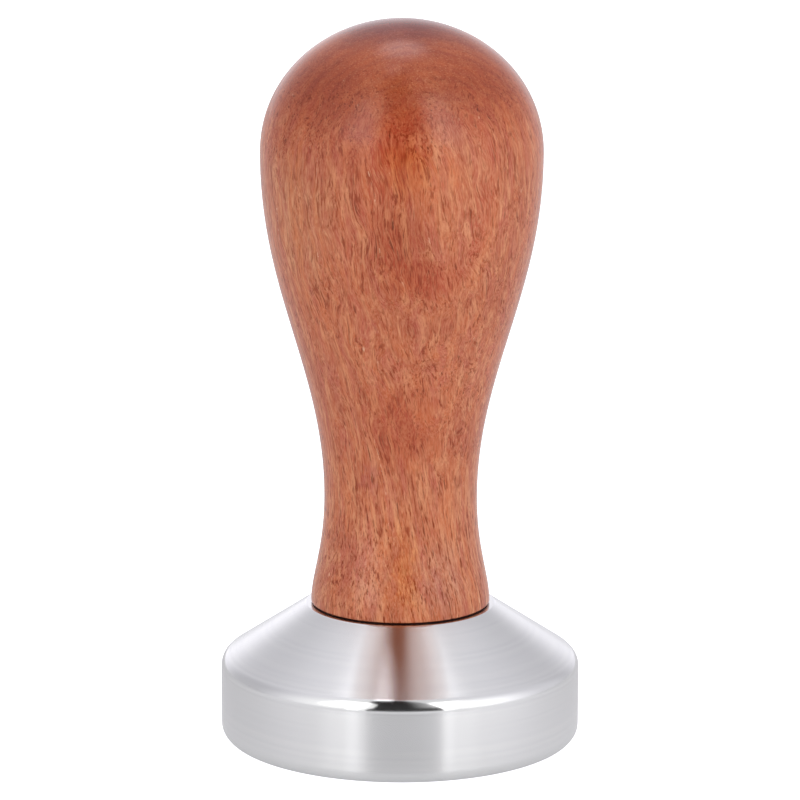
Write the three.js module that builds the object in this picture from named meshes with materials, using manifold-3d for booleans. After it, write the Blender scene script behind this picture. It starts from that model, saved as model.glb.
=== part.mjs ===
// Espresso tamper: a turned hardwood handle that screws onto a turned stainless steel base.
// Millimetres, +Z up. The origin is the centre of the base's flat underside, and every piece is
// turned about the Z axis. A set screw fixed in the handle's brass insert runs in the base's
// tapped hole, with a thin black washer between the handle's foot and the base.
import * as THREE from "three";
import { mergeVertices } from "three/addons/utils/BufferGeometryUtils.js";
import Module from "manifold-3d";

// ---------------------------------------------------------------- driving dimensions

const BASE = {
  radius: 25.5, // fits a 51 mm portafilter basket
  height: 19.6,
  edgeRound: 2.0, // between the tamping face and the wall
  shoulderRound: 2.1, // between the wall and the cone
  coneSlope: THREE.MathUtils.degToRad(33.7), // above the horizontal
  landRadius: 13.4, // the flat that carries the washer and the handle
  holeDepth: 11.4, // at the hole's full width, below the land
};

const WASHER = { radius: 12.5, holeRadius: 4.4, thickness: 0.2 };

const HANDLE = {
  topZ: 103.2,
  footRadius: 12.7,
  footChamfer: 0.2,
  waist: { radius: 10.85, z: 35.1 },
  belly: { radius: 19.85, z: 84.5 },
  // How far each bend's tangent reaches, which sets how full the curve is.
  footPull: 3.5,
  waistPullDown: 7.6,
  waistPullUp: 18.4,
  bellyPullDown: 20,
  bellyPullUp: 11,
  crownPull: 10.4,
};

const INSERT = {
  length: 13,
  recess: 0.3, // above the foot's face
  bodyRadius: 5.3,
  tipTaper: 0.9,
  slotWidth: 1.4,
  slotDepth: 1.6,
};

const SCREW = {
  length: 22,
  inBase: 10, // how far it reaches below the base's land
  chamfer: 0.8,
  socketAcrossFlats: 4,
  socketDepth: 4.5,
};

// An M8 thread with flat crests.
const METRIC = {
  pitch: 1.25,
  crestRadius: 3.95,
  rootRadius: 3.2,
  crestWidth: 0.1,
  flank: THREE.MathUtils.degToRad(30),
};

// The coarse thread by which the insert bites into the wood.
const COARSE = {
  pitch: 3,
  crestRadius: 6.2,
  rootRadius: INSERT.bodyRadius,
  crestWidth: 0.2,
  flank: THREE.MathUtils.degToRad(30),
};

const FLANK_CLEARANCE = 0.11; // between a screw and its nut, along the axis and at the crests
const ROOT_CLEARANCE = 0.15; // between a screw's root and its nut's crests
const DRILL_POINT = THREE.MathUtils.degToRad(59); // half angle of the tip that a drill leaves
const COUNTERSINK = 0.2; // how much wider the hole's mouth is than its thread

const BASE_SEGMENTS = 96;
const HANDLE_SEGMENTS = 72;
const THREAD_SEGMENTS = 16; // in one turn of a thread

// Places that follow from the sizes above.
const FOOT_Z = BASE.height + WASHER.thickness;
const INSERT_BOTTOM = FOOT_Z + INSERT.recess;
const INSERT_TOP = INSERT_BOTTOM + INSERT.length;
const SCREW_BOTTOM = BASE.height - SCREW.inBase;
const SCREW_TOP = SCREW_BOTTOM + SCREW.length;
const HOLE_BOTTOM = BASE.height - BASE.holeDepth;

// ---------------------------------------------------------------- solids

const wasm = await Module();
wasm.setup();

// A closed geometry as a solid that can be joined and cut: shared corners are merged and
// collapsed triangles are dropped.
function toSolid(geometry) {
  const bare = geometry.clone();
  bare.deleteAttribute("normal");
  bare.deleteAttribute("uv");
  const merged = mergeVertices(bare, 1e-4);
  const corners = merged.index.array;
  const kept = [];
  for (let i = 0; i < corners.length; i += 3) {
    const [a, b, c] = corners.slice(i, i + 3);
    if (a !== b && b !== c && c !== a) kept.push(a, b, c);
  }
  return new wasm.Manifold(
    new wasm.Mesh({
      numProp: 3,
      vertProperties: merged.attributes.position.array,
      triVerts: new Uint32Array(kept),
    }),
  );
}

function toGeometry(solid) {
  const mesh = solid.getMesh();
  const geometry = new THREE.BufferGeometry();
  geometry.setAttribute("position", new THREE.BufferAttribute(mesh.vertProperties, 3));
  geometry.setIndex(new THREE.BufferAttribute(mesh.triVerts, 1));
  geometry.computeVertexNormals();
  return geometry;
}

// Turns an outline of [radius, z] points about the Z axis, from the axis back to the axis or
// closed on itself. The outline runs with the material on its left.
function turned(outline, segments) {
  const points = outline.map(([radius, z]) => new THREE.Vector2(radius, z));
  return toSolid(new THREE.LatheGeometry(points, segments).rotateX(Math.PI / 2));
}

// Part of a circle in the outline's plane, between two directions from its centre.
function arc(centre, radius, fromAngle, toAngle, steps) {
  const points = [];
  for (let i = 0; i <= steps; i++) {
    const angle = THREE.MathUtils.lerp(fromAngle, toAngle, i / steps);
    points.push([centre[0] + radius * Math.cos(angle), centre[1] + radius * Math.sin(angle)]);
  }
  return points;
}

// A cubic curve in the outline's plane, without its first point.
function bend(start, startPull, endPull, end, steps) {
  const controls = [start, startPull, endPull, end];
  const curve = new THREE.CubicBezierCurve(...controls.map(([r, z]) => new THREE.Vector2(r, z)));
  return curve.getPoints(steps).slice(1).map((point) => [point.x, point.y]);
}

// ---------------------------------------------------------------- threads

// Half the width of a thread's ridge at a radius: a flat crest and two straight flanks.
function ridgeHalfWidth(thread, radius) {
  return thread.crestWidth / 2 + (thread.crestRadius - radius) * Math.tan(thread.flank);
}

// A right-hand threaded rod that runs past both of the heights asked for, so that it can be
// trimmed. Its ridge crosses the XZ plane at whole multiples of the pitch, so a screw and a nut of
// the same pitch are always in mesh. A rod that cuts a nut has the running clearances added.
function threadedRod(thread, fromZ, toZ, isNut = false) {
  const root = thread.rootRadius + (isNut ? ROOT_CLEARANCE : 0);
  const slack = isNut ? FLANK_CLEARANCE : 0;
  const crest = thread.crestRadius + slack;
  const rootHalf = ridgeHalfWidth(thread, root) + slack;
  const crestHalf = ridgeHalfWidth(thread, crest) + slack;
  const section = [
    [root, -rootHalf],
    [crest, -crestHalf],
    [crest, crestHalf],
    [root, rootHalf],
  ];
  const firstTurn = Math.floor(fromZ / thread.pitch) - 1;
  const lastTurn = Math.ceil(toZ / thread.pitch) + 1;
  const steps = (lastTurn - firstTurn) * THREAD_SEGMENTS;
  const positions = [];
  for (let i = 0; i <= steps; i++) {
    const turn = i / THREAD_SEGMENTS;
    const angle = 2 * Math.PI * turn;
    const lift = (firstTurn + turn) * thread.pitch;
    for (const [radius, z] of section)
      positions.push(radius * Math.cos(angle), radius * Math.sin(angle), lift + z);
  }
  const bottomCentre = positions.length / 3;
  const topCentre = bottomCentre + 1;
  positions.push(0, 0, (firstTurn - 1) * thread.pitch);
  positions.push(0, 0, (lastTurn + 1) * thread.pitch);

  // The side: each corner of the section is joined to the one above it, and the last corner to
  // the first corner of the next turn.
  const corner = (step, k) => step * section.length + k;
  const above = (step, k) => (k < 3 ? corner(step, k + 1) : corner(step + THREAD_SEGMENTS, 0));
  const faces = [];
  for (let i = 0; i < steps; i++)
    for (let k = 0; k < section.length; k++) {
      if (k === 3 && i + THREAD_SEGMENTS >= steps) continue;
      faces.push(corner(i, k), corner(i + 1, k), above(i + 1, k));
      faces.push(corner(i, k), above(i + 1, k), above(i, k));
    }

  // The ends: a fan over the section and over the one turn of its edge that is still open.
  const bottomLoop = section.map((_, k) => corner(0, k));
  const topLoop = section.map((_, k) => corner(steps, 3 - k));
  for (let i = 0; i < THREAD_SEGMENTS; i++) {
    bottomLoop.push(corner(THREAD_SEGMENTS - i, 0));
    topLoop.push(corner(steps - THREAD_SEGMENTS + i, 3));
  }
  bottomLoop.forEach((a, i) => faces.push(bottomCentre, a, bottomLoop[(i + 1) % bottomLoop.length]));
  topLoop.forEach((a, i) => faces.push(topCentre, a, topLoop[(i + 1) % topLoop.length]));

  const rod = new THREE.BufferGeometry();
  rod.setAttribute("position", new THREE.Float32BufferAttribute(positions, 3));
  rod.setIndex(faces);
  return toSolid(rod);
}

// ---------------------------------------------------------------- the pieces

// The base: flat tamping face, short upright wall, cone, and a land with the tapped hole.
function makeBase() {
  const { radius, height, edgeRound, shoulderRound, coneSlope, landRadius } = BASE;
  const shoulderTurn = Math.PI / 2 - coneSlope;
  const coneFootRadius = radius - shoulderRound * (1 - Math.cos(shoulderTurn));
  const coneFootZ = height - (coneFootRadius - landRadius) * Math.tan(coneSlope);
  const wallTop = coneFootZ - shoulderRound * Math.sin(shoulderTurn);
  const body = turned(
    [
      [0, 0],
      ...arc([radius - edgeRound, edgeRound], edgeRound, -Math.PI / 2, 0, 4),
      ...arc([radius - shoulderRound, wallTop], shoulderRound, 0, shoulderTurn, 4),
      [landRadius, height],
      [0, height],
    ],
    BASE_SEGMENTS,
  );
  const mouthRadius = METRIC.crestRadius + FLANK_CLEARANCE + COUNTERSINK;
  const mouth = turned(
    [
      [0, height - mouthRadius],
      [mouthRadius + 1, height + 1],
      [0, height + 1],
    ],
    THREAD_SEGMENTS,
  );
  const drilled = turned(
    [
      [0, HOLE_BOTTOM - METRIC.rootRadius / Math.tan(DRILL_POINT)],
      [METRIC.rootRadius, HOLE_BOTTOM],
      [METRIC.rootRadius, height],
      [0, height],
    ],
    THREAD_SEGMENTS,
  );
  const tapped = threadedRod(METRIC, HOLE_BOTTOM + 2 * METRIC.pitch, height, true);
  return body.subtract(drilled).subtract(tapped).subtract(mouth);
}

function makeWasher() {
  const { radius, holeRadius, thickness } = WASHER;
  return turned(
    [
      [holeRadius, BASE.height],
      [radius, BASE.height],
      [radius, BASE.height + thickness],
      [holeRadius, BASE.height + thickness],
      [holeRadius, BASE.height],
    ],
    HANDLE_SEGMENTS,
  );
}

// The handle: a flared foot, a slim waist and a full belly under a rounded crown, bored from
// below for the insert.
function makeHandle() {
  const { topZ, footRadius, footChamfer, footPull, waist, belly } = HANDLE;
  const foot = [footRadius, FOOT_Z + footChamfer];
  const footAbove = [footRadius, foot[1] + footPull];
  const waistBelow = [waist.radius, waist.z - HANDLE.waistPullDown];
  const waistPoint = [waist.radius, waist.z];
  const waistAbove = [waist.radius, waist.z + HANDLE.waistPullUp];
  const bellyBelow = [belly.radius, belly.z - HANDLE.bellyPullDown];
  const bellyPoint = [belly.radius, belly.z];
  const bellyAbove = [belly.radius, belly.z + HANDLE.bellyPullUp];
  const blank = turned(
    [
      [0, FOOT_Z],
      [footRadius - footChamfer, FOOT_Z],
      foot,
      ...bend(foot, footAbove, waistBelow, waistPoint, 6),
      ...bend(waistPoint, waistAbove, bellyBelow, bellyPoint, 10),
      ...bend(bellyPoint, bellyAbove, [HANDLE.crownPull, topZ], [0, topZ], 9),
    ],
    HANDLE_SEGMENTS,
  );
  return blank.subtract(threadedRod(COARSE, FOOT_Z, INSERT_TOP - COARSE.pitch, true));
}

// The insert: a brass sleeve with a coarse thread outside, an M8 thread inside and a driving
// slot across its lower end.
function makeInsert() {
  const { bodyRadius, tipTaper, slotWidth, slotDepth } = INSERT;
  const envelope = turned(
    [
      [0, INSERT_BOTTOM],
      [COARSE.crestRadius + 1, INSERT_BOTTOM],
      [COARSE.crestRadius + 1, INSERT_TOP - tipTaper - 2],
      [bodyRadius - tipTaper, INSERT_TOP],
      [0, INSERT_TOP],
    ],
    THREAD_SEGMENTS,
  );
  const slot = new THREE.BoxGeometry(4 * bodyRadius, slotWidth, 2 * slotDepth);
  slot.translate(0, 0, INSERT_BOTTOM);
  return threadedRod(COARSE, INSERT_BOTTOM, INSERT_TOP)
    .intersect(envelope)
    .subtract(threadedRod(METRIC, INSERT_BOTTOM, INSERT_TOP, true))
    .subtract(toSolid(slot));
}

// The set screw: threaded along its whole length, with a hexagon socket in the lower end.
function makeScrew() {
  const { chamfer, socketAcrossFlats, socketDepth } = SCREW;
  const endRadius = METRIC.crestRadius - chamfer;
  const envelope = turned(
    [
      [0, SCREW_BOTTOM],
      [endRadius, SCREW_BOTTOM],
      [endRadius + 2, SCREW_BOTTOM + 2],
      [endRadius + 2, SCREW_TOP - 2],
      [endRadius, SCREW_TOP],
      [0, SCREW_TOP],
    ],
    THREAD_SEGMENTS,
  );
  const cornerRadius = socketAcrossFlats / 2 / Math.cos(Math.PI / 6);
  const socket = new THREE.CylinderGeometry(cornerRadius, cornerRadius, 2 * socketDepth, 6);
  socket.rotateX(Math.PI / 2).translate(0, 0, SCREW_BOTTOM);
  return threadedRod(METRIC, SCREW_BOTTOM, SCREW_TOP)
    .intersect(envelope)
    .subtract(toSolid(socket));
}

// ---------------------------------------------------------------- the assembly

const FINISHES = {
  wood: { color: 0xb5603c, roughness: 0.4, metalness: 0 },
  stainless: { color: 0xd6d6d8, roughness: 0.2, metalness: 1 },
  blackFibre: { color: 0x161210, roughness: 0.8, metalness: 0 },
  brass: { color: 0xc9a24b, roughness: 0.35, metalness: 1 },
  zincPlate: { color: 0xb9bcc0, roughness: 0.35, metalness: 1 },
};

function piece(name, solid, finish) {
  const mesh = new THREE.Mesh(toGeometry(solid), new THREE.MeshStandardMaterial(finish));
  mesh.name = name;
  return mesh;
}

const tamper = new THREE.Group();
tamper.name = "espresso_tamper";
tamper.add(
  piece("base", makeBase(), FINISHES.stainless),
  piece("joint_washer", makeWasher(), FINISHES.blackFibre),
  piece("handle", makeHandle(), FINISHES.wood),
  piece("threaded_insert", makeInsert(), FINISHES.brass),
  piece("set_screw", makeScrew(), FINISHES.zincPlate),
);

export default tamper;
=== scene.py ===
"""Espresso tamper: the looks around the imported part, in metres, +Z up.

Every piece is turned about the Z axis. The places and outer sizes of the pieces come from the
frame; the shape of each outline between them is given here, in millimetres.
"""
import math

import bpy
from mathutils import Matrix, Vector


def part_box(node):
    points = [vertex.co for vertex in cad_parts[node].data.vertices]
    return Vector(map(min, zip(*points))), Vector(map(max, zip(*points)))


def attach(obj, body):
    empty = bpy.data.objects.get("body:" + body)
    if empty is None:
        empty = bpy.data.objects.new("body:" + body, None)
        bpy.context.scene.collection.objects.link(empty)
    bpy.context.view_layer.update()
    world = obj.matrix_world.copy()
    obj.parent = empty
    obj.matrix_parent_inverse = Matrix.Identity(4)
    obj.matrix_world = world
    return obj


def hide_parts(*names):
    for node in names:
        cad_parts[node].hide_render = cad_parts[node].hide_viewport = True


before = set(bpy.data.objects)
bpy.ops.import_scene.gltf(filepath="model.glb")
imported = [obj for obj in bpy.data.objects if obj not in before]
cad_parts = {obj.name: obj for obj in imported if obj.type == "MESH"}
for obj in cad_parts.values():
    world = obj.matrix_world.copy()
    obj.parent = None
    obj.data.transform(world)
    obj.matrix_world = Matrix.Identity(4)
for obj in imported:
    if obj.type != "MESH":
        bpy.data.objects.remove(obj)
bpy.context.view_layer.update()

MM = 0.001


# ---------------------------------------------------------------- sizes

class Place:
    """A CAD node's radius, lowest and highest point, in millimetres."""

    def __init__(self, node):
        low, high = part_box(node)
        self.radius = high.x / MM
        self.bottom = low.z / MM
        self.top = high.z / MM


BASE = Place("base")
WASHER = Place("joint_washer")
HANDLE = Place("handle")
INSERT = Place("threaded_insert")
SCREW = Place("set_screw")

# The base. Its hole has a small bevel, then a countersunk mouth, the thread, and a run-out.
EDGE_ROUND = 2.0
SHOULDER_ROUND = 2.1
CONE_SLOPE = math.radians(33.7)
LAND_RADIUS = 13.4
LAND_EDGE_ROUND = 0.25
HOLE_DEPTH = 11.4
HOLE_BEVEL = 0.1
HOLE_MOUTH_SPARE = 0.2
HOLE_RUNOUT = 0.4
DRILL_POINT = math.radians(59)

SHOULDER_TURN = math.pi / 2 - CONE_SLOPE
CONE_FOOT_RADIUS = BASE.radius - SHOULDER_ROUND * (1 - math.cos(SHOULDER_TURN))
SHOULDER_HIGH = BASE.top - (CONE_FOOT_RADIUS - LAND_RADIUS) * math.tan(CONE_SLOPE)
SHOULDER_LOW = SHOULDER_HIGH - SHOULDER_ROUND * math.sin(SHOULDER_TURN)

# The washer
WASHER_HOLE = 4.4
WASHER_EDGE = 0.06

# The handle. The pulls are the lengths of its curves' handles.
FOOT_RADIUS = 12.7
FOOT_ROUND = 0.2
WAIST_RADIUS = 10.85
WAIST_Z = 35.1
BELLY_Z = 84.5
FOOT_PULL = 3.5
WAIST_PULL_DOWN = 7.6
WAIST_PULL_UP = 18.4
BELLY_PULL_DOWN = 20.0
BELLY_PULL_UP = 11.0
CROWN_PULL = 10.4
BORE_SPARE = 1.0
BORE_RUNOUT = 0.2
BORE_MOUTH_SPARE = 0.1
BORE_MOUTH_DEPTH = 0.35

# The insert and the set screw
INSERT_BODY_RADIUS = 5.3
INSERT_TIP_TAPER = 0.9
INSERT_BEVEL = 0.2
SLOT_WIDTH = 1.4
SLOT_DEPTH = 1.6
SCREW_CHAMFER = 0.8
SOCKET_ACROSS_FLATS = 4.0
SOCKET_DEPTH = 4.5
SOCKET_POINT = 0.9
SOCKET_BEVEL = 0.15

# Edges that turn by more than this are sharp.
SHARP_ANGLE = math.radians(32)
THREAD_FLANK = math.tan(math.radians(30))


class Thread:
    """A right-hand thread that crosses the XZ plane at whole multiples of its pitch."""

    def __init__(self, pitch, crest, root, crest_width, clearance=0.0, root_clearance=0.0):
        self.pitch = pitch
        self.crest = crest + clearance
        self.root = root + root_clearance
        self.flank_top = crest
        self.half_crest = crest_width / 2 + clearance

    def radius(self, angle, z):
        """The threaded surface's radius at a height, in the direction of an angle."""
        turns = z / self.pitch - angle / math.tau
        off_centre = abs(turns - round(turns)) * self.pitch
        flank_radius = self.flank_top - (off_centre - self.half_crest) / THREAD_FLANK
        return min(self.crest, max(self.root, flank_radius))


METRIC = dict(pitch=1.25, crest=3.95, root=3.2, crest_width=0.1)
COARSE = dict(pitch=3.0, crest=6.2, root=INSERT_BODY_RADIUS, crest_width=0.2)
CLEARANCES = dict(clearance=0.11, root_clearance=0.15)


# ---------------------------------------------------------------- outlines

def arc(centre, radius, start, end, steps):
    """Points of a circle from one direction to another, as (radius, z)."""
    angles = [start + (end - start) * i / steps for i in range(steps + 1)]
    return [(centre[0] + radius * math.cos(a), centre[1] + radius * math.sin(a)) for a in angles]


def bend(start, start_pull, end_pull, end, steps):
    """Points of a cubic curve without its first one, as (radius, z)."""
    corners = (start, start_pull, end_pull, end)
    points = []
    for i in range(1, steps + 1):
        t = i / steps
        weights = ((1 - t) ** 3, 3 * t * (1 - t) ** 2, 3 * t * t * (1 - t), t ** 3)
        points.append(tuple(sum(w * c[k] for w, c in zip(weights, corners)) for k in (0, 1)))
    return points


def line(start, end, steps):
    """Evenly spaced points from one to another without the first one, as (radius, z)."""
    return [
        tuple(start[k] + (end[k] - start[k]) * i / steps for k in (0, 1))
        for i in range(1, steps + 1)
    ]


def turned(name, rows, segments, closed=False):
    """A mesh object turned about Z. A row is (radius, z) in millimetres, or (function, z) where
    the function gives the radius for an angle. The rows run with the material on their left."""
    verts, rings = [], []
    for radius, z in rows:
        if radius == 0:
            rings.append([len(verts)] * segments)
            verts.append((0.0, 0.0, z * MM))
            continue
        first = len(verts)
        for j in range(segments):
            angle = math.tau * j / segments
            r = (radius(angle) if callable(radius) else radius) * MM
            verts.append((r * math.cos(angle), r * math.sin(angle), z * MM))
        rings.append(list(range(first, first + segments)))
    pairs = list(zip(rings, rings[1:]))
    if closed:
        pairs.append((rings[-1], rings[0]))
    faces = []
    for lower, upper in pairs:
        for j in range(segments):
            k = (j + 1) % segments
            corners = [lower[j], lower[k], upper[k], upper[j]]
            faces.append(list(dict.fromkeys(corners)))
    mesh = bpy.data.meshes.new(name)
    mesh.from_pydata(verts, [], faces)
    mesh.polygons.foreach_set("use_smooth", [True] * len(faces))
    mesh.set_sharp_from_angle(angle=SHARP_ANGLE)
    mesh.validate()
    piece = bpy.data.objects.new(name, mesh)
    bpy.context.scene.collection.objects.link(piece)
    return piece


def threaded_wall(thread, start, end, step=0.08, limit=None, flare=None):
    """Rows of a threaded wall between two heights. limit gives a largest radius at a height, and
    flare a smallest one."""
    steps = max(1, math.ceil(abs(end - start) / step))
    rows = []
    for i in range(steps + 1):
        z = start + (end - start) * i / steps
        most = limit(z) if limit else math.inf
        least = flare(z) if flare else 0.0

        def radius(angle, z=z, most=most, least=least):
            return max(least, min(thread.radius(angle, z), most))

        rows.append((radius, z))
    return rows


# ---------------------------------------------------------------- the pieces

def make_base():
    """From the middle of the underside, out and up to the land, and down the hole."""
    edge = arc((BASE.radius - EDGE_ROUND, EDGE_ROUND), EDGE_ROUND, -math.pi / 2, 0, 14)
    shoulder_centre = (BASE.radius - SHOULDER_ROUND, SHOULDER_LOW)
    shoulder = arc(shoulder_centre, SHOULDER_ROUND, 0, SHOULDER_TURN, 16)
    # The rounded edge between cone and land touches both, half the slope's turn from each.
    edge_in = LAND_EDGE_ROUND * math.tan(CONE_SLOPE / 2)
    edge_centre = (LAND_RADIUS - edge_in, BASE.top - LAND_EDGE_ROUND)
    land_edge = arc(edge_centre, LAND_EDGE_ROUND, SHOULDER_TURN, math.pi / 2, 5)
    thread = Thread(**METRIC, **CLEARANCES)
    mouth = thread.crest + HOLE_MOUTH_SPARE
    mouth_z = BASE.top - HOLE_BEVEL
    hole_bottom = BASE.top - HOLE_DEPTH
    thread_bottom = hole_bottom + 1.5 * thread.pitch
    drill = METRIC["root"]
    rows = (
        [(0, 0)]
        + line((0, 0), edge[0], 6)[:-1]
        + edge
        + line(edge[-1], shoulder[0], 4)[:-1]
        + shoulder
        + line(shoulder[-1], land_edge[0], 10)[:-1]
        + land_edge
        + [(mouth + HOLE_BEVEL, BASE.top), (mouth, BASE.top - HOLE_BEVEL / 2)]
        + threaded_wall(thread, mouth_z, thread_bottom, flare=lambda z: mouth - (mouth_z - z))
        + [(drill, thread_bottom - HOLE_RUNOUT), (drill, hole_bottom)]
        + [(0, hole_bottom - drill / math.tan(DRILL_POINT))]
    )
    return turned("tamper_base", rows, segments=256)


def make_washer():
    e = WASHER_EDGE
    inside, outside = WASHER_HOLE + e, WASHER.radius - e
    low, high = WASHER.bottom + e, WASHER.top - e
    rows = (
        [(inside, WASHER.bottom)]
        + arc((outside, low), e, -math.pi / 2, 0, 3)
        + arc((outside, high), e, 0, math.pi / 2, 3)
        + arc((inside, high), e, math.pi / 2, math.pi, 3)
        + arc((inside, low), e, math.pi, 1.5 * math.pi, 3)[:-1]
    )
    return turned("foot_washer", rows, segments=192, closed=True)


def make_handle():
    """From the bore's end down to the foot, out round it, and up to the crown."""
    thread = Thread(**COARSE, **CLEARANCES)
    bottom, top = HANDLE.bottom, HANDLE.top
    foot_edge = arc((FOOT_RADIUS - FOOT_ROUND, bottom + FOOT_ROUND), FOOT_ROUND, -math.pi / 2, 0, 5)
    foot = foot_edge[-1]
    waist = (WAIST_RADIUS, WAIST_Z)
    belly = (HANDLE.radius, BELLY_Z)
    bore_top = INSERT.top + BORE_SPARE
    bore_mouth = (thread.crest + BORE_MOUTH_SPARE, bottom)
    rows = (
        [(0, bore_top + thread.root / math.tan(DRILL_POINT)), (thread.root, bore_top)]
        + threaded_wall(thread, bore_top - BORE_RUNOUT, bottom + BORE_MOUTH_DEPTH, step=0.15)
        + [bore_mouth]
        + line(bore_mouth, foot_edge[0], 6)[:-1]
        + foot_edge
        + bend(
            foot,
            (FOOT_RADIUS, foot[1] + FOOT_PULL),
            (WAIST_RADIUS, WAIST_Z - WAIST_PULL_DOWN),
            waist,
            steps=24,
        )
        + bend(
            waist,
            (WAIST_RADIUS, WAIST_Z + WAIST_PULL_UP),
            (HANDLE.radius, BELLY_Z - BELLY_PULL_DOWN),
            belly,
            steps=48,
        )
        + bend(
            belly,
            (HANDLE.radius, BELLY_Z + BELLY_PULL_UP),
            (CROWN_PULL, top),
            (0, top),
            steps=40,
        )[:-1]
        + [(0, top)]
    )
    return turned("wooden_handle", rows, segments=256)


def make_insert():
    outside = Thread(**COARSE)
    inside = Thread(**METRIC, **CLEARANCES)
    low, high = INSERT.bottom, INSERT.top
    tip = INSERT_BODY_RADIUS - INSERT_TIP_TAPER
    thread_low, thread_high = low + INSERT_BEVEL / 2, high - INSERT_BEVEL / 4

    def tapered(z):
        return tip + max(0.0, high - z)

    rows = (
        [(INSERT_BODY_RADIUS - INSERT_BEVEL, low)]
        + threaded_wall(outside, thread_low, thread_high, step=0.12, limit=tapered)
        + [(tip, high)]
        + threaded_wall(inside, high, low, step=0.1)
    )
    piece = turned("brass_insert", rows, segments=144, closed=True)
    cut_slot(piece)
    return piece


def cut_slot(insert):
    """Cuts the driving slot across the insert's lower end, with a block wider than the insert."""
    half, reach = SLOT_WIDTH / 2 * MM, 8 * MM
    low, high = (INSERT.bottom - 2) * MM, (INSERT.bottom + SLOT_DEPTH) * MM
    corners = [(x, y, z) for x in (-reach, reach) for y in (-half, half) for z in (low, high)]
    sides = [(0, 1, 3, 2), (4, 6, 7, 5), (0, 4, 5, 1), (2, 3, 7, 6), (0, 2, 6, 4), (1, 5, 7, 3)]
    mesh = bpy.data.meshes.new("slot_cutter")
    mesh.from_pydata(corners, [], sides)
    cutter = bpy.data.objects.new("slot_cutter", mesh)
    bpy.context.scene.collection.objects.link(cutter)
    cut = insert.modifiers.new("slot", "BOOLEAN")
    cut.operation, cut.solver, cut.object = "DIFFERENCE", "EXACT", cutter
    graph = bpy.context.evaluated_depsgraph_get()
    insert.data = bpy.data.meshes.new_from_object(insert.evaluated_get(graph))
    insert.modifiers.clear()
    insert.data.set_sharp_from_angle(angle=SHARP_ANGLE)
    bpy.data.objects.remove(cutter)


def make_screw():
    thread = Thread(**METRIC)
    low, high = SCREW.bottom, SCREW.top
    end_radius = SCREW.radius - SCREW_CHAMFER
    flat = SOCKET_ACROSS_FLATS / 2
    drilled, mouth = flat * 0.98, flat * 1.22
    socket_top = low + SOCKET_DEPTH

    def hexagon(angle):
        return flat / math.cos((angle % (math.pi / 3)) - math.pi / 6)

    def chamfered(z):
        return end_radius + min(z - low, high - z)

    rows = (
        [(0, socket_top + SOCKET_POINT), (drilled, socket_top), (hexagon, socket_top)]
        + [(hexagon, low + SOCKET_BEVEL), (mouth, low)]
        + threaded_wall(thread, low, high, limit=chamfered)
        + [(0, high)]
    )
    return turned("stud_screw", rows, segments=96)


# ---------------------------------------------------------------- materials

def srgb(red, green, blue):
    """A colour given as it shows on a screen, 0 to 255."""
    def linear(c):
        c /= 255
        return c / 12.92 if c <= 0.04045 else ((c + 0.055) / 1.055) ** 2.4
    return (linear(red), linear(green), linear(blue), 1.0)


GRAIN_TILT = (math.radians(-3), math.radians(8), 0)
WOOD_ORANGE = srgb(190, 100, 61)
WOOD_RED = srgb(162, 76, 50)
WOOD_ROSE = srgb(174, 84, 70)
WOOD_TAN = srgb(206, 136, 96)
WOOD_LIGHT = srgb(218, 152, 112)
WOOD_DARK = srgb(131, 51, 20)
WOOD_LAYER = srgb(160, 62, 38)
WOOD_PORE = srgb(98, 43, 18)
WOOD_SPECK = srgb(240, 200, 165)
# Partly the end grain's stain, partly painted shade on what faces up
END_GRAIN_STAIN_AND_SHADE = (0.62, 0.52, 0.48, 1.0)

# The growth layers stand across this line, so the belly cuts them in ovals and the waist in
# stripes. One layer is dark, between two depths along the line.
LAYER_LINE = (math.sin(math.radians(14)), -math.cos(math.radians(14)), 0.0)
LAYER_THICKNESS = 1.3
DARK_LAYER = (17.6, 18.5)

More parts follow.
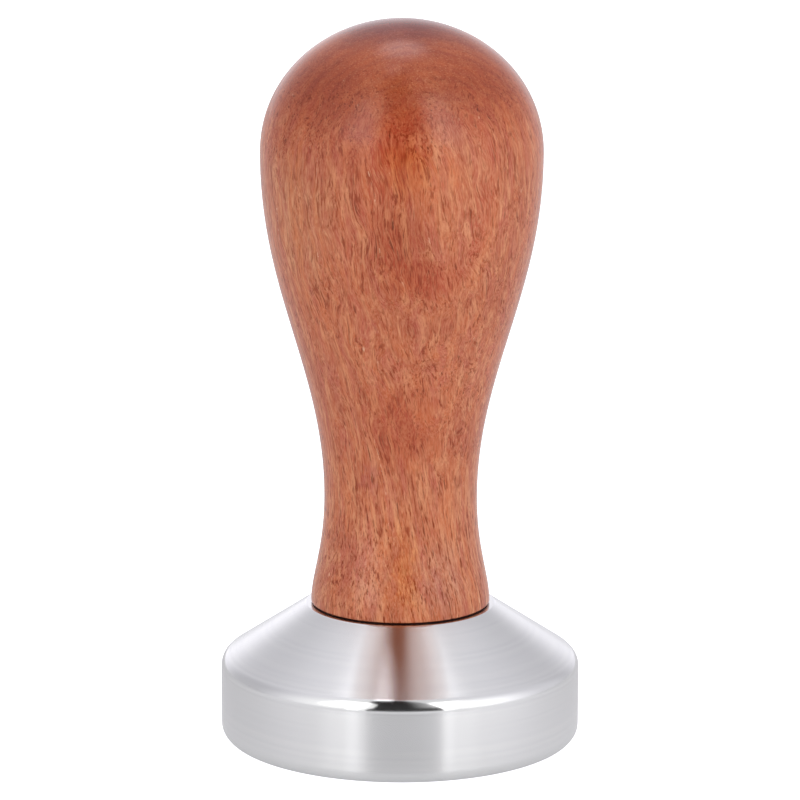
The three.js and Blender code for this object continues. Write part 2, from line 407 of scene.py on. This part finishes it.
# Soft patches: some are where the wood took the stain differently, and some are painted shade and
# painted sheen, as marked. Each has its middle and its reach in millimetres, and what it multiplies
# the colour by.
FIGURE_AND_PAINTED_LIGHT = (
    # The crown and the dome
    # Painted shade: the crown, which faces up, darker and more purple, where less light falls from
    # above.
    ((0, 0, 104), (15, 15, 7), (0.54, 0.44, 0.77)),
    ((-11, -11, 92), (13, 13, 12), (0.82, 0.68, 0.64)),
    # Partly the wood's own colour, partly painted shade: the next two make the dome's front, where
    # no sheen falls, darker and more saturated.
    ((0, -18.5, 90), (5, 8, 7.5), (0.92, 0.7, 0.62)),
    ((0.5, -19.5, 85), (5, 5, 5), (0.98, 0.84, 0.62)),
    ((11, -10, 93), (10, 10, 9), (0.97, 0.83, 0.71)),
    ((-6, -16, 89), (5, 7, 6), (0.9, 0.72, 0.64)),
    # The belly, and the taper below it
    # Painted sheen: the next two make the belly's left and right sides paler and whiter, where the
    # light falls.
    ((-14, -13, 78), (8, 9, 15), (1.0, 1.16, 1.2)),
    ((11, -16, 79), (8, 8, 15), (1.12, 1.22, 1.24)),
    ((3.5, -17.5, 70), (5.5, 6, 3.5), (1.0, 0.88, 0.82)),
    # Partly the wood's own redder heart, partly painted shade: the belly's front, where no sheen
    # falls, darker and redder.
    ((0, -18.5, 74), (6, 8, 12), (0.89, 0.79, 0.72)),
    ((9, -11, 57), (6, 7, 10), (1.06, 1.12, 1.16)),
    # The waist and the foot
    ((0, 0, 28), (34, 34, 20), (1.03, 1.11, 1.13)),
    ((6.5, -10, 25), (5, 6, 8), (0.95, 1.03, 1.19)),
    ((0, -12, 48), (7, 6, 9), (0.9, 0.73, 0.66)),
    ((-7.8, -8.5, 27), (2.4, 5, 9), (0.9, 0.8, 0.82)),
    ((0.6, -11.5, 28), (1.9, 4, 10), (1.1, 1.08, 0.9)),
    ((-4.6, -10.5, 25), (2.6, 5, 9), (1.0, 1.03, 1.2)),
    ((-4.5, -10, 40), (1.3, 3, 3.5), (0.86, 0.74, 0.9)),
    # The back
    ((-3, 18, 80), (9, 9, 16), (0.94, 0.84, 0.78)),
    ((12, 12, 90), (11, 11, 9), (0.82, 0.76, 0.8)),
    ((5, 10, 32), (3, 5, 12), (0.95, 0.84, 0.8)),
)

STEEL_WARM = (0.72, 0.72, 0.72, 1)
STEEL_COOL = (0.7, 0.7, 0.705, 1)
FIBRE_DARK = srgb(30, 8, 2)
FIBRE_LIGHT = srgb(50, 16, 8)
BRASS_LIGHT = srgb(214, 176, 104)
BRASS_DARK = srgb(176, 134, 70)
ZINC_LIGHT = srgb(196, 198, 200)
ZINC_DARK = srgb(160, 163, 168)


class Shader:
    """A material's node tree, with short ways to add and join nodes."""

    def __init__(self, tree):
        self.tree = tree
        tree.nodes.clear()

    def add(self, kind, **settings):
        node = self.tree.nodes.new(kind)
        for key, value in settings.items():
            setattr(node, key, value)
        return node

    def put(self, socket, value):
        """Gives an input a value, or joins it to another node's output."""
        if isinstance(value, bpy.types.NodeSocket):
            self.tree.links.new(value, socket)
        else:
            socket.default_value = value

    def coordinates(self, kind="Object"):
        return self.add("ShaderNodeTexCoord").outputs[kind]

    def parts(self, vector):
        """A vector's three numbers."""
        node = self.add("ShaderNodeSeparateXYZ")
        self.put(node.inputs[0], vector)
        return node.outputs

    def vector(self, x, y, z):
        node = self.add("ShaderNodeCombineXYZ")
        for socket, value in zip(node.inputs, (x, y, z)):
            self.put(socket, value)
        return node.outputs[0]

    def vector_math(self, operation, *values):
        """The node itself, because some operations give a vector and others a number."""
        node = self.add("ShaderNodeVectorMath", operation=operation)
        for socket, value in zip(node.inputs, values):
            self.put(socket, value)
        return node

    def math(self, operation, *values):
        node = self.add("ShaderNodeMath", operation=operation)
        for socket, value in zip(node.inputs, values):
            self.put(socket, value)
        return node.outputs[0]

    def total(self, *values):
        result = values[0]
        for value in values[1:]:
            result = self.math("ADD", result, value)
        return result

    def product(self, *values):
        result = values[0]
        for value in values[1:]:
            result = self.math("MULTIPLY", result, value)
        return result

    def smooth(self, value, low, high, to_low=0.0, to_high=1.0):
        """value eased from to_low at low to to_high at high, and held beyond them."""
        node = self.add("ShaderNodeMapRange", interpolation_type="SMOOTHSTEP")
        for socket, item in zip(node.inputs[:5], (value, low, high, to_low, to_high)):
            self.put(socket, item)
        return node.outputs[0]

    def window(self, value, low, high, blur):
        """1 where a value lies between two others, easing to 0 across each border."""
        above = self.smooth(self.math("SUBTRACT", value, low), -blur / 2, blur / 2)
        below = self.smooth(self.math("SUBTRACT", high, value), -blur / 2, blur / 2)
        return self.product(above, below)

    def scaled(self, vector, scale, rotation=(0, 0, 0), location=(0, 0, 0)):
        node = self.add("ShaderNodeMapping")
        for name, item in (("Vector", vector), ("Scale", scale), ("Rotation", rotation)):
            self.put(node.inputs[name], item)
        self.put(node.inputs["Location"], location)
        return node.outputs[0]

    def noise(self, vector, scale=1.0, detail=2.0, roughness=0.5, output="Fac"):
        node = self.add("ShaderNodeTexNoise")
        self.put(node.inputs["Vector"], vector)
        for name, item in (("Scale", scale), ("Detail", detail), ("Roughness", roughness)):
            self.put(node.inputs[name], item)
        return node.outputs[output]

    def mix(self, share, a, b, blend="MIX"):
        node = self.add("ShaderNodeMix", data_type="RGBA", blend_type=blend)
        self.put(node.inputs["Factor"], share)
        self.put(node.inputs["A"], a)
        self.put(node.inputs["B"], b)
        return node.outputs["Result"]

    def tinted(self, share, colour, tint):
        """A colour with a share of a tint, which multiplies it."""
        return self.mix(share, colour, self.mix(1.0, colour, tint, "MULTIPLY"))

    def bump(self, height, distance, strength=1.0):
        node = self.add("ShaderNodeBump")
        self.put(node.inputs["Height"], height)
        self.put(node.inputs["Distance"], distance)
        self.put(node.inputs["Strength"], strength)
        return node.outputs["Normal"]


def new_material(name):
    material = bpy.data.materials.new(name)
    material.use_nodes = True
    return material, Shader(material.node_tree)


def surface(shader, **values):
    """Ends a material with a Principled shader. Keys are its sockets' names in lower case."""
    principled = shader.add("ShaderNodeBsdfPrincipled")
    output = shader.add("ShaderNodeOutputMaterial")
    shader.put(output.inputs["Surface"], principled.outputs[0])
    names = {socket.name.lower().replace(" ", "_"): socket for socket in principled.inputs}
    for key, value in values.items():
        shader.put(names[key], value)


def wood_material():
    """A reddish open-pored hardwood under satin lacquer. It is solid through the piece: its pores
    are long tubes along the grain, which show as dashes on the sides and as dots on the crown."""
    material, s = new_material("lacquered_wood")
    place = s.scaled(s.coordinates(), (1 / MM, 1 / MM, 1 / MM))
    height = s.parts(place)[2]
    straight = s.scaled(place, (1, 1, 1), rotation=GRAIN_TILT)

    def wandered(vector, across, along, reach, seed):
        """Moves points sideways by a noise of a given size, so that what lies there bends."""
        size = (1 / across, 1 / across, 1 / along)
        moves = s.scaled(vector, size, location=(seed, 2 * seed, 0))
        moves = s.noise(moves, detail=1.0, output="Color")
        centred = s.vector_math("SUBTRACT", moves, (0.5, 0.5, 0.5)).outputs[0]
        sideways = s.vector(reach, reach, 0.0)
        return s.vector_math("MULTIPLY_ADD", centred, sideways, vector).outputs[0]

    # The grain runs straighter in the foot and the waist than above them.
    grain = wandered(straight, 3.6, 8, s.smooth(height, 30, 50, 0.6, 2.6), 18.5)

    def streaks(across, along, low, high, detail=3, seed=0.0):
        """A noise drawn out along the grain, 0 below low and 1 above high."""
        size = (1 / across, 1 / across, 1 / along)
        drawn_out = s.scaled(grain, size, location=(seed, seed, seed))
        return s.smooth(s.noise(drawn_out, detail=detail, roughness=0.6), low, high)

    def pores(spacing, radius, share, seed):
        """1 inside tubes along the grain. share is the part of the tubes that are there."""
        cells = s.add("ShaderNodeTexVoronoi", voronoi_dimensions="2D", feature="F1")
        s.put(cells.inputs["Vector"], s.scaled(grain, (1 / spacing,) * 3, location=(seed, seed, 0)))
        s.put(cells.inputs["Scale"], 1.0)
        draw = s.add("ShaderNodeSeparateColor")
        s.put(draw.inputs[0], cells.outputs["Color"])
        there = s.math("LESS_THAN", draw.outputs[0], share)
        reach = s.smooth(draw.outputs[1], 0.0, 1.0, 0.6 * radius / spacing, radius / spacing)
        inside = s.math("SUBTRACT", reach, cells.outputs["Distance"])
        return s.product(there, s.smooth(inside, -0.04, 0.08))

    # End grain soaks up more stain than the sides do; the darker tint on what faces up is partly
    # that stain and partly painted shade, where less light falls from above. Its fibres and ribbons
    # show less, and its pores a little less.
    facing_up = s.parts(s.coordinates("Normal"))[2]
    end_grain_and_top_shade = s.smooth(facing_up, 0.15, 0.7)
    side_grain = s.smooth(facing_up, 0.2, 0.75, 1.0, 0.28)
    side_pores = s.smooth(facing_up, 0.5, 0.9, 1.0, 0.45)

    bent = wandered(place, 2.4, 5, 0.8, 355.0)
    depth = s.vector_math("DOT_PRODUCT", bent, LAYER_LINE).outputs["Value"]
    growth = s.add("ShaderNodeTexNoise", noise_dimensions="1D")
    s.put(growth.inputs["W"], s.math("DIVIDE", depth, LAYER_THICKNESS))
    s.put(growth.inputs["Scale"], 1.0)
    layers = s.smooth(growth.outputs["Fac"], 0.36, 0.64)
    dark_layer = s.window(depth, *DARK_LAYER, 0.7)

    # Sizes are across and along the grain. Patches come first, then ribbons, then what is fine.
    patches = streaks(6, 20, 0.36, 0.64, seed=5.0)
    crowd = s.smooth(streaks(3, 12, 0.35, 0.6, seed=13.0), 0, 1, 0.35, 1.0)
    rose = streaks(1.5, 12, 0.45, 0.66, seed=9.0)
    tan = streaks(1.0, 10, 0.46, 0.66, seed=31.0)
    ruddy = streaks(1.3, 9, 0.5, 0.68, seed=53.0)
    speckle = s.smooth(s.noise(s.scaled(place, (3, 3, 2.5)), detail=2), 0.45, 0.65)
    dashes = streaks(0.3, 2.6, 0.53, 0.66, seed=2.0)
    heavy = streaks(0.5, 3.6, 0.57, 0.68, seed=41.0)
    flecks = streaks(0.26, 2.0, 0.56, 0.7, seed=47.0)
    fibres = streaks(0.17, 1.4, 0.35, 0.65, detail=2, seed=7.0)

    # The heavy dashes are boldest in the waist and the foot, and faintest just above them.
    bold = s.smooth(height, 34, 48, 1.0, 0.38)
    bold = s.smooth(height, 58, 72, bold, 0.62)

    # Each pore is open only here and there along its length. A few hold pale dust.
    open_here = streaks(0.7, 3.0, 0.44, 0.57, seed=17.0)
    wide = s.product(pores(0.75, 0.11, 0.7, 3.0), crowd, open_here)
    narrow = s.product(pores(0.4, 0.07, 0.6, 11.0), open_here, 0.6)
    pore = s.product(s.math("MAXIMUM", wide, narrow), side_pores)
    dust = s.product(pores(2.3, 0.11, 0.45, 21.0), streaks(0.5, 0.8, 0.52, 0.6, seed=23.0))

    hue = s.total(s.product(patches, 0.5), s.product(layers, 0.5))
    colour = s.mix(hue, WOOD_RED, WOOD_ORANGE)
    for share, tone in (
        (s.product(rose, side_grain, 0.55), WOOD_ROSE),
        (s.product(tan, side_grain, 0.62), WOOD_TAN),
        (s.product(ruddy, side_grain, 0.55), WOOD_RED),
        (s.product(speckle, 0.13), WOOD_DARK),
        (s.product(dark_layer, 0.65), WOOD_LAYER),
        (s.product(fibres, side_grain, 0.32), WOOD_LIGHT),
        (s.product(flecks, side_grain, 0.36), WOOD_LIGHT),
        (s.product(dashes, side_pores, crowd, 0.86), WOOD_DARK),
        (s.product(heavy, side_pores, bold), WOOD_DARK),
        (s.product(pore, 0.85), WOOD_PORE),
        (s.product(dust, 0.75), WOOD_SPECK),
    ):
        colour = s.mix(share, colour, tone)

    # The crown is end grain, darker partly by its stain and partly by painted shade, with the cut
    # ends of its fibres as pale dots.
    colour = s.tinted(s.product(end_grain_and_top_shade, 0.75), colour, END_GRAIN_STAIN_AND_SHADE)
    dots = s.smooth(s.noise(s.scaled(place, (4.5, 4.5, 4.5)), detail=1), 0.56, 0.7)
    colour = s.mix(s.product(dots, end_grain_and_top_shade, 0.2), colour, WOOD_LIGHT)

    # The patches' outlines wander. Some of the patches are painted shade and painted sheen.
    loose = wandered(place, 1, 1.8, 4.0, 305.0)
    for middle, reach, tint in FIGURE_AND_PAINTED_LIGHT:
        size = [1 / r for r in reach]
        shift = [-m / r for m, r in zip(middle, reach)]
        from_middle = s.vector_math("LENGTH", s.scaled(loose, size, location=shift))
        share = s.smooth(from_middle.outputs["Value"], 0.25, 1.05, 1.0, 0.0)
        colour = s.tinted(share, colour, (*tint, 1.0))

    relief = s.math("SUBTRACT", s.product(dashes, -0.2), pore)
    surface(
        s,
        base_color=colour,
        roughness=s.smooth(pore, 0, 1, 0.5, 0.65),
        normal=s.bump(relief, 0.02 * MM, 0.5),
        specular_ior_level=0.0,
        coat_weight=1.0,
        coat_ior=1.34,
        coat_roughness=0.22,
        coat_normal=s.bump(relief, 0.01 * MM, 0.3),
    )
    return material


def steel_material():
    """Stainless steel turned on a lathe and lightly polished. Its fine lines run round the axis,
    so what it mirrors is drawn out across them, and less so on the polished shoulder and land."""
    material, s = new_material("turned_stainless")
    x, y, z = s.parts(s.scaled(s.coordinates(), (1 / MM, 1 / MM, 1 / MM)))
    radius = s.math("SQRT", s.total(s.product(x, x), s.product(y, y)))
    profile = s.vector(radius, z, 0.0)
    fine = s.noise(profile, scale=3.5, detail=2)
    broad = s.noise(profile, scale=1.4, detail=1)
    polished = s.math(
        "MAXIMUM",
        s.window(z, SHOULDER_LOW, SHOULDER_HIGH, 0.4),
        s.smooth(z, BASE.top - 0.2, BASE.top - 0.1),
    )
    turned_roughness = s.smooth(fine, 0.3, 0.7, 0.24, 0.255)
    surface(
        s,
        base_color=s.mix(s.smooth(broad, 0.3, 0.7), STEEL_COOL, STEEL_WARM),
        metallic=1.0,
        roughness=s.smooth(polished, 0, 1, turned_roughness, 0.12),
        anisotropic=1.0,
        anisotropic_rotation=0.25,
        tangent=s.add("ShaderNodeTangent", direction_type="RADIAL", axis="Z").outputs[0],
        normal=s.bump(fine, 0.0015 * MM),
    )
    return material


def fibre_material():
    """Matt black fibre, a little brown where it is thin."""
    material, s = new_material("black_fibre")
    speckle = s.noise(s.coordinates(), scale=4000, detail=3)
    surface(
        s,
        base_color=s.mix(speckle, FIBRE_DARK, FIBRE_LIGHT),
        roughness=s.smooth(speckle, 0.3, 0.7, 0.7, 0.9),
        specular_ior_level=0.1,
        normal=s.bump(speckle, 0.02 * MM, 0.5),
    )
    return material


def machined_material(name, light, dark, roughness):
    """A small turned part, with fine marks round its axis and a little tarnish."""
    material, s = new_material(name)
    place = s.coordinates()
    tarnish = s.smooth(s.noise(place, scale=420, detail=4), 0.35, 0.7)
    marks = s.noise(s.scaled(place, (60, 60, 9000)), detail=3)
    surface(
        s,
        base_color=s.mix(tarnish, light, dark),
        metallic=1.0,
        roughness=s.smooth(marks, 0.3, 0.7, roughness * 0.8, roughness * 1.2),
        normal=s.bump(marks, 0.003 * MM, 0.5),
    )
    return material


# The camera sees the room and the floor burnt out, at this level. Everything else sees them at
# the levels that light the tamper.
BURNT_OUT = 1.2


def floor_material():
    """A white floor. To the camera it is burnt out; to everything else it glows with painted light
    that stands in for the studio light falling on it, brightest in front of the tamper and on its
    right.
    """
    material, s = new_material("plain_floor")
    seen = s.add("ShaderNodeLightPath").outputs["Is Camera Ray"]
    x, y, _ = s.parts(s.coordinates())
    painted_floor_light = s.product(s.smooth(y, -0.05, 0.05, 0.52, 0.3), s.smooth(x, 0.01, 0.04, 1.0, 1.15))
    surface(
        s,
        base_color=(0.35, 0.35, 0.35, 1),
        roughness=0.9,
        specular_ior_level=0.0,
        emission_color=(0.985, 0.985, 1.02, 1),
        emission_strength=s.smooth(seen, 0, 1, painted_floor_light, BURNT_OUT),
    )
    return material


# ---------------------------------------------------------------- assembly

def dress(piece, material, body, node):
    piece.data.materials.clear()
    piece.data.materials.append(material)
    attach(piece, body)
    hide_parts(node)


brass = machined_material("machined_brass", BRASS_LIGHT, BRASS_DARK, 0.28)
zinc = machined_material("zinc_plate", ZINC_LIGHT, ZINC_DARK, 0.3)
dress(make_base(), steel_material(), "base", "base")
dress(make_washer(), fibre_material(), "washer", "joint_washer")
dress(make_handle(), wood_material(), "handle", "handle")
dress(make_insert(), brass, "handle", "threaded_insert")
dress(make_screw(), zinc, "handle", "set_screw")


# ---------------------------------------------------------------- studio

# Directions are an azimuth and an elevation in degrees. Azimuth 0 is towards the camera's side,
# -Y, and 90 is towards +X. Elevation 0 is the horizon.
# Each lamp has its direction, the cosines of its edge and its core, and its level. One is above
# and behind the tamper, the other overhead, a little to the left.
BACK_LAMP = ((180, 67), 0.97, 0.995, 3.0)
TOP_LAMP = ((-95, 85), 0.9976, 0.9991, 3.7)
BOX_LEVEL = 2.35
STRIP_LEVEL = 0.85
UNLIT_LEVEL = 0.03
STRAY_LEVEL = 0.42
WHITE = (1, 1, 1, 1)
COOL_WHITE = (0.985, 0.975, 1.03, 1)

# The camera, in metres
CAMERA_DIRECTION = (0, 12.62)
CAMERA_DISTANCE = 0.7
CAMERA_LENS = 223.3
CAMERA_ROLL = math.radians(0.2)
CAMERA_PIVOT = Vector((0, 0, 0.05226))
CAMERA_TARGET = Vector((-0.00014, 0, 0.0490))

# The floor, in metres. It lies just under the base, so that the two don't share a plane.
FLOOR_SIDE = 6.0
FLOOR_GAP = 0.02 * MM


def direction(azimuth, elevation):
    """A unit vector."""
    a, e = math.radians(azimuth), math.radians(elevation)
    return Vector((math.sin(a) * math.cos(e), -math.cos(a) * math.cos(e), math.sin(e)))


def room_level(s, azimuth, elevation):
    """The white room: bright on the camera's side, dimmer at the sides, and bright again low down
    behind the tamper. Its right side and its left back are a little brighter than that, and so is
    the left of its ceiling."""
    aside = s.math("ABSOLUTE", azimuth)
    room = s.smooth(aside, 50, 110, 1.27, 0.65)
    behind = s.smooth(elevation, 8, 30, 1.15, 0.75)
    room = s.smooth(aside, 130, 170, room, behind)
    right_side = s.smooth(azimuth, 38, 62, 1.0, 1.33)
    right_side = s.smooth(azimuth, 110, 140, right_side, 1.05)
    left_back = s.smooth(azimuth, -150, -120, 1.17, 1.0)
    ceiling = s.smooth(azimuth, -65, -45, 1.06, 0.92)
    return s.smooth(elevation, 25, 75, s.product(room, right_side, left_back), ceiling)


def softbox_level(s, azimuth, elevation):
    """A tall softbox on either side of the camera, each with a narrow strip that runs from its
    inner edge down to the horizon. The left box is dimmer at its top."""
    aside = s.math("ABSOLUTE", azimuth)
    left_box = s.smooth(elevation, 25, 40, 1.0, 0.7)
    boxes = s.product(s.window(aside, 25, 52, 10), s.window(elevation, 16, 58, 12), BOX_LEVEL)
    boxes = s.product(boxes, s.smooth(azimuth, -10, 10, left_box, 1.0))
    strips = s.product(s.window(aside, 26, 34, 3), s.window(elevation, -1, 30, 2), STRIP_LEVEL)
    return s.total(boxes, strips)


def dimming(s, azimuth, elevation):
    """The unlit part of the room at the camera's back, up to nearly overhead, with some stray
    light in its upper right: what is left there of the room's light, and 1 elsewhere."""
    left_border = s.smooth(elevation, 5, 25, -21.5, -17.0)
    left_border = s.smooth(elevation, 45, 80, left_border, -42.0)
    right_border = s.smooth(elevation, 0, 80, 27.5, 24.0)
    unlit = s.product(
        s.window(azimuth, left_border, right_border, 3.0),
        s.smooth(elevation, 86.5, 89.5, 1.0, 0.0),
    )
    stray = s.product(s.smooth(azimuth, 5, 24), s.smooth(elevation, 15, 35), STRAY_LEVEL)
    return s.smooth(unlit, 0, 1, 1.0, s.total(UNLIT_LEVEL, stray))


def make_world():
    world = bpy.data.worlds.new("studio")
    world.use_nodes = True
    bpy.context.scene.world = world
    s = Shader(world.node_tree)
    toward = s.coordinates("Generated")
    x, y, z = s.parts(toward)
    degrees = 180 / math.pi
    azimuth = s.product(s.math("ARCTAN2", x, s.product(y, -1.0)), degrees)
    elevation = s.product(s.math("ARCSINE", z), degrees)

    level = s.total(room_level(s, azimuth, elevation), softbox_level(s, azimuth, elevation))
    level = s.product(level, dimming(s, azimuth, elevation))
    for lamp, edge, core, lamp_level in (BACK_LAMP, TOP_LAMP):
        nearness = s.vector_math("DOT_PRODUCT", toward, direction(*lamp)).outputs["Value"]
        level = s.total(level, s.smooth(nearness, edge, core, 0.0, lamp_level))
    tint = s.mix(s.smooth(s.math("ABSOLUTE", azimuth), 40, 100), WHITE, COOL_WHITE)

    seen = s.add("ShaderNodeLightPath").outputs["Is Camera Ray"]
    background = s.add("ShaderNodeBackground")
    s.put(background.inputs["Color"], tint)
    s.put(background.inputs["Strength"], s.smooth(seen, 0, 1, level, BURNT_OUT))
    output = s.add("ShaderNodeOutputWorld")
    s.put(output.inputs["Surface"], background.outputs[0])


def make_floor():
    half = FLOOR_SIDE / 2
    mesh = bpy.data.meshes.new("floor")
    low = -FLOOR_GAP
    corners = [(-half, -half, low), (half, -half, low), (half, half, low), (-half, half, low)]
    mesh.from_pydata(corners, [], [(0, 1, 2, 3)])
    mesh.materials.append(floor_material())
    floor = bpy.data.objects.new("floor", mesh)
    bpy.context.scene.collection.objects.link(floor)


def make_camera():
    camera = bpy.data.objects.new("camera", bpy.data.cameras.new("camera"))
    bpy.context.scene.collection.objects.link(camera)
    camera.data.sensor_width = 36
    camera.data.lens = CAMERA_LENS
    camera.data.clip_start, camera.data.clip_end = 0.05, 20
    place = CAMERA_PIVOT + direction(*CAMERA_DIRECTION) * CAMERA_DISTANCE
    turn = (CAMERA_TARGET - place).to_track_quat("-Z", "Y").to_matrix().to_4x4()
    roll = Matrix.Rotation(CAMERA_ROLL, 4, "Z")
    camera.matrix_world = Matrix.Translation(place) @ turn @ roll
    bpy.context.scene.camera = camera


make_world()
make_floor()
make_camera()
bpy.context.scene.view_settings.view_transform = "Standard"
